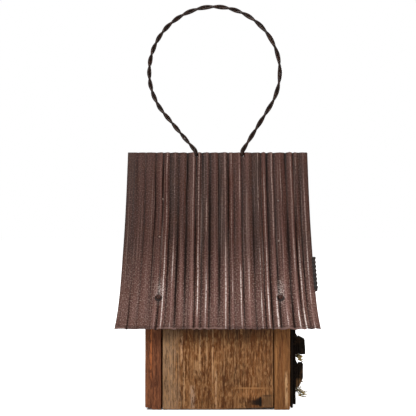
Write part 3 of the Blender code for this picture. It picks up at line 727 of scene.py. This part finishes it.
def punchSlots(bm, downLayer):  # the hanger goes through two torn slots across the ridge
    doomed = []
    for face in bm.faces:
        middle = face.calc_center_median()
        down = sum(vert[downLayer] for vert in face.verts) / len(face.verts)
        for leg in hangerWire["legs"]:
            torn = roofSlots["torn"] if down < 0 else 0.0
            across = middle.x - leg - torn / 2
            if abs(across) < roofSlots["half"] + torn / 2 and abs(down) < roofSlots["down"]:
                doomed.append(face)
    bmesh.ops.delete(bm, geom=doomed, context="FACES")


nailDents = 0.12 * mm
nailKinds = {  # in mm
    "roof_nail_eave": {"head": 3.2, "dome": 1.5, "shank": 1.4, "seat": 1.5, "material": nailMaterial},
    "roof_nail": {"head": 1.15, "dome": 0.7, "shank": 0.7, "seat": 1.6, "material": brightNailMaterial},
    "door_pivot_nail": {"head": 3.2, "dome": 0.9, "shank": 1.5, "seat": 0.2, "material": nailMaterial},
    "board_nail": {"head": 3.0, "dome": 0.9, "shank": 1.3, "seat": 0.2, "material": nailMaterial},
    "nail": {"head": 2.2, "dome": 0.7, "shank": 1.0, "seat": 0.7, "material": nailMaterial},
}


def nailFrame(node):  # (middle of the head's top, direction out of the wood, length)
    points = [vert.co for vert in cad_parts[node].data.vertices]
    middle = sum(points, Vector()) / len(points)
    tip = max(points, key=lambda point: (point - middle).length)
    reach = max((point - tip).length for point in points)
    heads = [point for point in points if (point - tip).length > reach - 0.25 * mm]
    top = sum(heads, Vector()) / len(heads)
    return top, (top - tip).normalized(), (top - tip).length


def makeNail(node):
    kind = next(recipe for word, recipe in nailKinds.items() if word in node)
    top, out, length = nailFrame(node)
    head, dome, shank = kind["head"] * mm, kind["dome"] * mm, kind["shank"] * mm
    top = top - out * kind["seat"] * mm
    under = -dome - 0.3 * mm
    outline = [(0, 0), (head * 0.45, -0.12 * dome), (head * 0.8, -0.45 * dome), (head * 0.98, -dome * 0.9)]
    outline += [(head, -dome), (head * 0.94, under), (shank * 1.15, under), (shank, under - 0.8 * mm)]
    outline += [(shank, -length + 3 * shank), (0, -length + kind["seat"] * mm)]
    bm = bmesh.new()
    points = [bm.verts.new((radius, 0, height)) for radius, height in outline]
    edges = [bm.edges.new(pair) for pair in zip(points, points[1:])]
    geometry = points + edges
    bmesh.ops.spin(bm, geom=geometry, cent=(0, 0, 0), axis=(0, 0, 1), angle=math.tau, steps=20, use_merge=True)
    bmesh.ops.remove_doubles(bm, verts=bm.verts, dist=0.005 * mm)
    bmesh.ops.recalc_face_normals(bm, faces=bm.faces)
    turn = Vector((0, 0, 1)).rotation_difference(out).to_matrix().to_4x4()
    bmesh.ops.transform(bm, matrix=Matrix.Translation(top) @ turn, verts=bm.verts)
    for vert in bm.verts:
        vert.co += nailDents * noise.noise_vector(vert.co * 700)
    return finished(pieceName(node), bm, "house", kind["material"], [node], 50)


bigDent, smallDent = 5.0 * mm, 2.2 * mm
nailNodes = sorted(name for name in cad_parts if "nail" in name)
for node in nailNodes:
    makeNail(node)
print("nails made:", len(nailNodes))


def roofNailPlaces():  # each roof nail's x, distance down the slope, side and size of dent
    steps = [step * mm for step in range(0, 246)]
    section = sectionPoints(steps, roofTin["ridge"])
    places = []
    for node in nailNodes:
        if node.startswith("roof_nail"):
            top = nailFrame(node)[0]
            gaps = [math.hypot(abs(top.y) - y, top.z - z) for y, z, _ in section]
            size = bigDent if "eave" in node else smallDent
            places.append((top.x, steps[gaps.index(min(gaps))], math.copysign(1, top.y), size))
    return places


makeRoof(roofNailPlaces())
print("roof made")


rakeClip = {
    "top": 180 * mm, "bottom": 142 * mm, "ribPitch": 5.5 * mm, "ribHeight": 0.45 * mm, "step": 0.45 * mm,
    "sheet": 0.6 * mm, "clear": 2.0 * mm,
}


def makeClip():
    low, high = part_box("rake_clip")
    steps = [step * 0.5 * mm for step in range(0, 491)]
    section = sectionPoints(steps, roofTin["ridge"])
    start = next(step for step, point in zip(steps, section) if point[1] < rakeClip["top"])
    end = next(step for step, point in zip(steps, section) if point[1] < rakeClip["bottom"])
    count = round((end - start) / rakeClip["step"])
    stations = [start + (end - start) * index / count for index in range(count + 1)]
    inner, outer = low.x, high.x - rakeClip["ribHeight"]
    sheet, clear = rakeClip["sheet"], rakeClip["clear"]
    lap, corner, face = inner + 3 * mm, outer - 0.5 * mm, outer - sheet
    profile = [(inner, clear), (lap, clear), (face, clear), (face, -clear), (inner, -clear)]
    profile += [(inner, -clear - sheet), (corner, -clear - sheet), (outer, -clear), (outer, 0), (outer, clear)]
    profile += [(corner, clear + sheet), (lap, clear + sheet), (inner, clear + sheet)]
    bm = bmesh.new()
    ring = [bm.verts.new((x, 0, lift)) for x, lift in profile]
    edges = [bm.edges.new((ring[i], ring[(i + 1) % len(ring)])) for i in range(len(ring))]
    bm.faces.new(ring)
    rings = [ring]
    for _ in stations[1:]:
        grown = bmesh.ops.extrude_edge_only(bm, edges=edges)["geom"]
        edges = [part for part in grown if isinstance(part, bmesh.types.BMEdge)]
        edges = [edge for edge in edges if all(vert in grown for vert in edge.verts)]
        edges = [edge for edge in edges if len(edge.link_faces) <= 1]
        follow = {}
        for edge in edges:
            for vert in edge.verts:
                follow[vert.co.to_tuple(7)] = vert
        rings.append([follow[vert.co.to_tuple(7)] for vert in ring])
    bm.faces.new(rings[-1])
    for distance, verts, (y, z, slope) in zip(stations, rings, sectionPoints(stations, roofTin["ridge"])):
        rib = rakeClip["ribHeight"] * math.sin(math.tau * (distance - start) / rakeClip["ribPitch"])
        for vert, (x, lift) in zip(verts, profile):
            outwards = rib if x > inner + 1 * mm else 0.0
            push = rib * 0.6 if lift > clear else 0.0
            vert.co = (x + outwards, -(y + (lift + push) * math.sin(slope)), z + (lift + push) * math.cos(slope))
    bmesh.ops.recalc_face_normals(bm, faces=bm.faces)
    return finished("rakeClip", bm, "house", clipMaterial, ["rake_clip"], 50)


makeClip()
print("clip made")


def filleted(corner, before, after, radius):
    into, away = (corner - before).normalized(), (after - corner).normalized()
    turn = into.angle(away)
    start = corner - into * radius * math.tan(turn / 2)
    side = (away - into * into.dot(away)).normalized()
    angles = [turn * index / 8 for index in range(9)]
    return [start + into * radius * math.sin(angle) + side * radius * (1 - math.cos(angle)) for angle in angles]


def hangerLine():  # the middle line as (x, z) points: up one leg, round the loop and down the other
    halves = []
    for leg, side in zip(hangerWire["legs"], (1, -1)):
        knee = Vector((leg, hangerWire["knee"]))
        toCentre = hangerWire["centre"] - knee
        reach = math.sqrt(toCentre.length_squared - hangerWire["loop"] ** 2)
        heading = math.atan2(toCentre.y, toCentre.x) + side * math.asin(hangerWire["loop"] / toCentre.length)
        touch = knee + reach * Vector((math.cos(heading), math.sin(heading)))
        foot = Vector((leg, hangerWire["axis"] + hangerWire["toeBend"]))
        bend = filleted(knee, foot, touch, hangerWire["kneeRadius"])
        halves.append(([foot, *bend, touch], touch - hangerWire["centre"]))
    (up, start), (down, end) = halves
    first, last = math.atan2(start.y, start.x) % math.tau, math.atan2(end.y, end.x)
    angles = [first + (last - first) * index / 200 for index in range(1, 200)]
    loop = [hangerWire["centre"] + hangerWire["loop"] * Vector((math.cos(a), math.sin(a))) for a in angles]
    return up + loop + down[::-1]


def evenlySpaced(points, count):
    lengths = [(after - before).length for before, after in zip(points, points[1:])]
    total, result, index, passed = sum(lengths), [], 0, 0.0
    for step in range(count + 1):
        target = total * step / count
        while index < len(lengths) - 1 and passed + lengths[index] < target:
            passed += lengths[index]
            index += 1
        result.append(points[index].lerp(points[index + 1], (target - passed) / lengths[index]))
    return result


def makeStrand(name, node, phase):
    turns = hangerWire["halfTurns"]
    count = turns * hangerWire["stations"]
    line = evenlySpaced(hangerLine(), count)
    points = []
    for index, point in enumerate(line):
        share = index / count
        ahead = line[min(index + 1, count)] - line[max(index - 1, 0)]
        ahead.normalize()
        place, width, late = hangerWire["lag"]
        twist = share + hangerWire["uneven"] * (1 - math.cos(math.tau * share)) / math.tau
        twist -= late * math.exp(-(((share - place) / width) ** 2))
        angle = phase + math.pi * turns * twist
        wobble = 0.25 * mm * noise.noise(Vector((share * 22, phase, 0.4))) * math.sin(math.pi * share)
        across = Vector((-ahead.y, ahead.x)) * (hangerWire["twist"] * math.cos(angle) + wobble)
        points.append(Vector((point.x + across.x, hangerWire["twist"] * math.sin(angle), point.y + across.y)))
    for leg, atStart in ((hangerWire["legs"][0], True), (hangerWire["legs"][1], False)):
        foot = points[0] if atStart else points[-1]
        side = math.copysign(1.0, foot.x - leg)
        bend = hangerWire["toeBend"]
        angles = [quarter * index / 7 for index in range(1, 8)]
        toe = [Vector((foot.x + side * bend * (1 - math.cos(a)), 0, foot.z - bend * math.sin(a))) for a in angles]
        toe.append(toe[-1] + Vector((side * hangerWire["toe"], 0, 0)))
        points = toe[::-1] + points if atStart else points + toe
    sizes = [1 + 0.05 * noise.noise(Vector((index * 0.13, phase, 2.0))) for index in range(len(points))]
    bm = thread([(points, sizes)], hangerWire["wire"], 14)
    return finished(name, bm, "hanger", wireMaterial, [node], 60)


makeStrand("hangerWireA", "hanger_strand_a", quarter)
makeStrand("hangerWireB", "hanger_strand_b", quarter + math.pi)
print("hanger made")


sawnBoards = {  # name, body, slot, finish and voxel in mm
    "side_door": ("sideDoor", "side_door", "door_wood", "doorWood", 1.1),
    "back_board": ("backBoard", "house", "board_wood", "backBoardWood", 1.3),
    "front_board": ("frontBoard", "house", "board_wood", "frontBoardWood", 1.3),
    "fixed_side_board": ("farSideBoard", "house", "board_wood", "farSideWood", 1.3),
}
sawnRoughness = [(0.22 * mm, (45, 45, 12)), (0.16 * mm, (420, 420, 26)), (0.08 * mm, (900, 900, 90))]


def chipDoor(bm):  # the raised lower edge, the split and the hollow knot in its front lower corner
    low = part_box("side_door")[0]
    doorDrop = low.z / mm - 0.7
    for vert in bm.verts:
        x, z = vert.co.x / mm, vert.co.z / mm
        if z < 5:
            lift = 2.6 * max(0.0, min(1.0, (x - 4) / 60)) - doorDrop
            lift += 0.35 * noise.noise(Vector((x * 0.5, 1.0, 4.0)))
            vert.co.z += lift * mm * (1 - z / 5)
        if vert.co.y < low.y + 2 * mm:
            split = math.exp(-(((x - 50.5) / 0.9) ** 2) - ((z - 11) / 4.0) ** 2)
            hollow = math.exp(-(((x - 47) / 6.0) ** 2) - ((z - 8) / 3.0) ** 2)
            vert.co.y += (2.2 * split + 0.9 * hollow) * mm


def splinterBack(bm):  # the near lower end has broken away
    for vert in bm.verts:
        x, y, z = (value / mm for value in vert.co)
        if z < 8 and y < -60:
            broken = 2.6 * max(0.0, min(1.0, (-77 - x) / 4))
            broken += 0.6 * (noise.noise(Vector((x * 0.9, y * 0.3, 2.0))) + 0.3)
            vert.co.z += broken * mm * (1 - z / 8)


def makeBoard(node, recipe, seed):
    name, body, slotName, finish, voxel = recipe
    bm = gridded(weldedCopy(node), voxel * mm)
    rubEdges(bm, 2)
    roughen(bm, sawnRoughness, seed)
    if node == "side_door":
        chipDoor(bm)
    if node == "back_board":
        splinterBack(bm)
    return finished(name, bm, body, boardMaterials[finish], [node], 60)


for seed, (node, recipe) in enumerate(sawnBoards.items()):
    makeBoard(node, recipe, seed * 3.7)


def makeFloor():
    bm = gridded(weldedCopy("floor_board"), 1.6 * mm)
    rubEdges(bm, 2)
    roughen(bm, [(0.2 * mm, (14, 45, 45)), (0.14 * mm, (26, 420, 420))], 8.0)
    return finished("floorBoard", bm, "house", boardMaterials["floorWood"], ["floor_board"], 60)


makeFloor()
print("boards made")


upright, across, branchy = (420, 420, 26), (420, 26, 420), (260, 60, 130)  # bumps for each metre along X, Y and Z
dressing = {  # voxel and bump height in mm, grain, finish
    "front_plank_left": (1.2, 0.35, upright, charUpright),
    "front_plank_middle": (1.2, 0.35, upright, charUpright),
    "front_plank_right": (1.2, 0.35, upright, charUpright),
    "front_apron": (1.0, 0.3, across, charAcross),
    "ledge": (0.8, 0.5, across, charAcross),
    "ledge_block_left": (0.5, 0.28, branchy, charBlock),
    "ledge_block_right": (0.5, 0.28, branchy, charBlock),
    "branch_rail": (0.8, 0.6, across, charBranch),
    "branch_stub_left": (0.5, 0.35, branchy, charBranch),
    "branch_stub_right": (0.5, 0.35, branchy, charBranch),
}


def makeDressing(node, recipe, seed):
    voxel, rough, grain, finish = recipe
    bm = gridded(weldedCopy(node), voxel * mm)
    rubEdges(bm, 2)
    broad = tuple(value * 0.25 for value in grain)
    roughen(bm, [(rough * mm, broad), (rough * mm * 0.5, grain)], seed)
    return finished(pieceName(node), bm, "house", finish, [node], 60)


for seed, (node, recipe) in enumerate(dressing.items()):
    makeDressing(node, recipe, 20 + seed * 2.3)
print("front dressing made")


stemRadius, stemLengths = 0.52 * mm, (18, 44)  # the lengths in mm
strawTufts = {
    "straw_upper": {"stems": 100, "loose": 42, "throw": 7.5 * mm, "drop": (-0.6, 0.5), "seed": 11},
    "straw_lower": {"stems": 100, "loose": 34, "throw": 13.5 * mm, "drop": (-0.8, 0.15), "seed": 23},
}


def makeStraw(node, recipe):
    rng = random.Random(recipe["seed"])
    low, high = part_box(node)
    middle, half = (low + high) / 2, (high - low) / 2
    splines = []
    for _ in range(recipe["stems"]):
        spread = (rng.uniform(-0.6, 0.6), rng.uniform(-0.9, 0.5), rng.uniform(-0.6, 0.6))
        start = middle + Vector(spread) * half
        length = rng.uniform(*stemLengths) * mm
        heading = Vector((rng.uniform(-0.12, 0.12), 1, rng.uniform(-0.15, 0.15)))
        splines.append(strawStem(rng, start, heading, length, 0.35))
    for _ in range(recipe["loose"]):
        along = -0.95 if rng.random() < 0.4 else rng.uniform(-0.95, 0.9)
        start = Vector((middle.x, middle.y + along * half.y, middle.z + rng.uniform(-0.8, 0.8) * half.z))
        heading = Vector((1, rng.uniform(-0.7, 0.7), rng.uniform(*recipe["drop"])))
        splines.append(strawStem(rng, start, heading, recipe["throw"] * rng.uniform(0.5, 1.0), 0.5))
    bm = thread(splines, stemRadius, 6)
    return finished(pieceName(node), bm, "house", strawMaterial, [node], 50)


def strawStem(rng, start, heading, length, bow):
    heading.normalize()
    side = heading.cross(Vector((rng.uniform(-1, 1), rng.uniform(-1, 1), rng.uniform(-1, 1)))).normalized()
    count = 6
    points = []
    for index in range(count + 1):
        share = index / count
        points.append(start + heading * length * share + side * length * bow * 0.3 * share * share)
    thick = rng.uniform(0.6, 1.25)
    return points, [thick * (1.0 if index < count else 0.7) for index in range(count + 1)]


for node, recipe in strawTufts.items():
    makeStraw(node, recipe)
print("straw made")


studio = {
    "distance": 0.850, "height": 0.2407, "lens": 56.25, "shift": -0.0231,
    "ambient": 0.22, "backdrop": 1.0, "floorGlow": 0.80,
    "floorReach": 4, "floorDrop": 0.4 * mm,
    "darkUnderX": (0.084, 0.086), "darkUnderY": (0.0725, 0.0745),  # the floor doesn't glow under the house
    "lights": {  # place, aim, size, watts
        "keyFront": ((-0.5, -1.9, 1.25), (0, 0, 0.22), 0.6, 30),
        "softTop": ((0.1, -0.25, 1.5), (0, 0, 0.2), 0.8, 12),
        "softBack": ((0.7, 1.9, 0.9), (0, 0, 0.22), 0.9, 18),
        "softRight": ((1.9, -0.3, 0.8), (0, 0, 0.22), 0.8, 10),
    },
}


def makeCamera():
    camera = added("camera", bpy.data.cameras.new("camera"))
    camera.location = (0, -studio["distance"], studio["height"])
    camera.rotation_euler = (quarter, 0, 0)
    camera.data.lens = studio["lens"]
    camera.data.sensor_width = 36
    camera.data.shift_x = studio["shift"]
    camera.data.clip_start = 0.05
    bpy.context.scene.camera = camera


def makeFloorPlane():  # pale, and as bright as the backdrop where the camera sees it
    material, tree, shader = startMaterial("paleFloor", 0.95)
    shader.inputs["Base Color"].default_value = paint(245, 245, 245)
    shader.inputs["Emission Color"].default_value = (1, 1, 1, 1)
    seen = put(tree, "LightPath").outputs["Is Camera Ray"]
    apart = put(tree, "SeparateXYZ", {0: objectPlace(tree)})
    beyondX = between(tree, maths(tree, "ABSOLUTE", apart.outputs["X"]), *studio["darkUnderX"])
    beyondY = between(tree, maths(tree, "ABSOLUTE", apart.outputs["Y"]), *studio["darkUnderY"])
    beyond = maths(tree, "MAXIMUM", beyondX, beyondY)
    glow = times(tree, times(tree, seen, beyond), studio["floorGlow"])
    tree.links.new(glow, shader.inputs["Emission Strength"])
    bm = bmesh.new()
    bmesh.ops.create_grid(bm, x_segments=1, y_segments=1, size=studio["floorReach"])
    bmesh.ops.translate(bm, verts=bm.verts, vec=(0, 0, -studio["floorDrop"]))
    mesh = meshFrom("floor", bm)
    mesh.materials.append(material)
    added("floor", mesh)


def addLight(name, place, aim, size, power):
    lamp = bpy.data.lights.new(name, "AREA")
    lamp.size = size
    lamp.energy = power
    light = added(name, lamp)
    light.location = place
    light.rotation_euler = (Vector(aim) - Vector(place)).to_track_quat("-Z", "Y").to_euler()


def makeLight():
    world = bpy.data.worlds.new("studio")
    world.use_nodes = True
    bpy.context.scene.world = world
    tree = world.node_tree
    seen = put(tree, "LightPath").outputs["Is Camera Ray"]
    levels = {0: seen, 2: studio["ambient"], 3: studio["backdrop"]}
    strength = put(tree, "Mix", levels, data_type="FLOAT").outputs[0]
    tree.nodes["Background"].inputs["Color"].default_value = (1, 1, 1, 1)
    tree.links.new(strength, tree.nodes["Background"].inputs["Strength"])
    for name, (place, aim, size, power) in studio["lights"].items():
        addLight(name, place, aim, size, power)
    bpy.context.scene.view_settings.view_transform = "Standard"


makeCamera()
makeFloorPlane()
makeLight()
print("studio made")
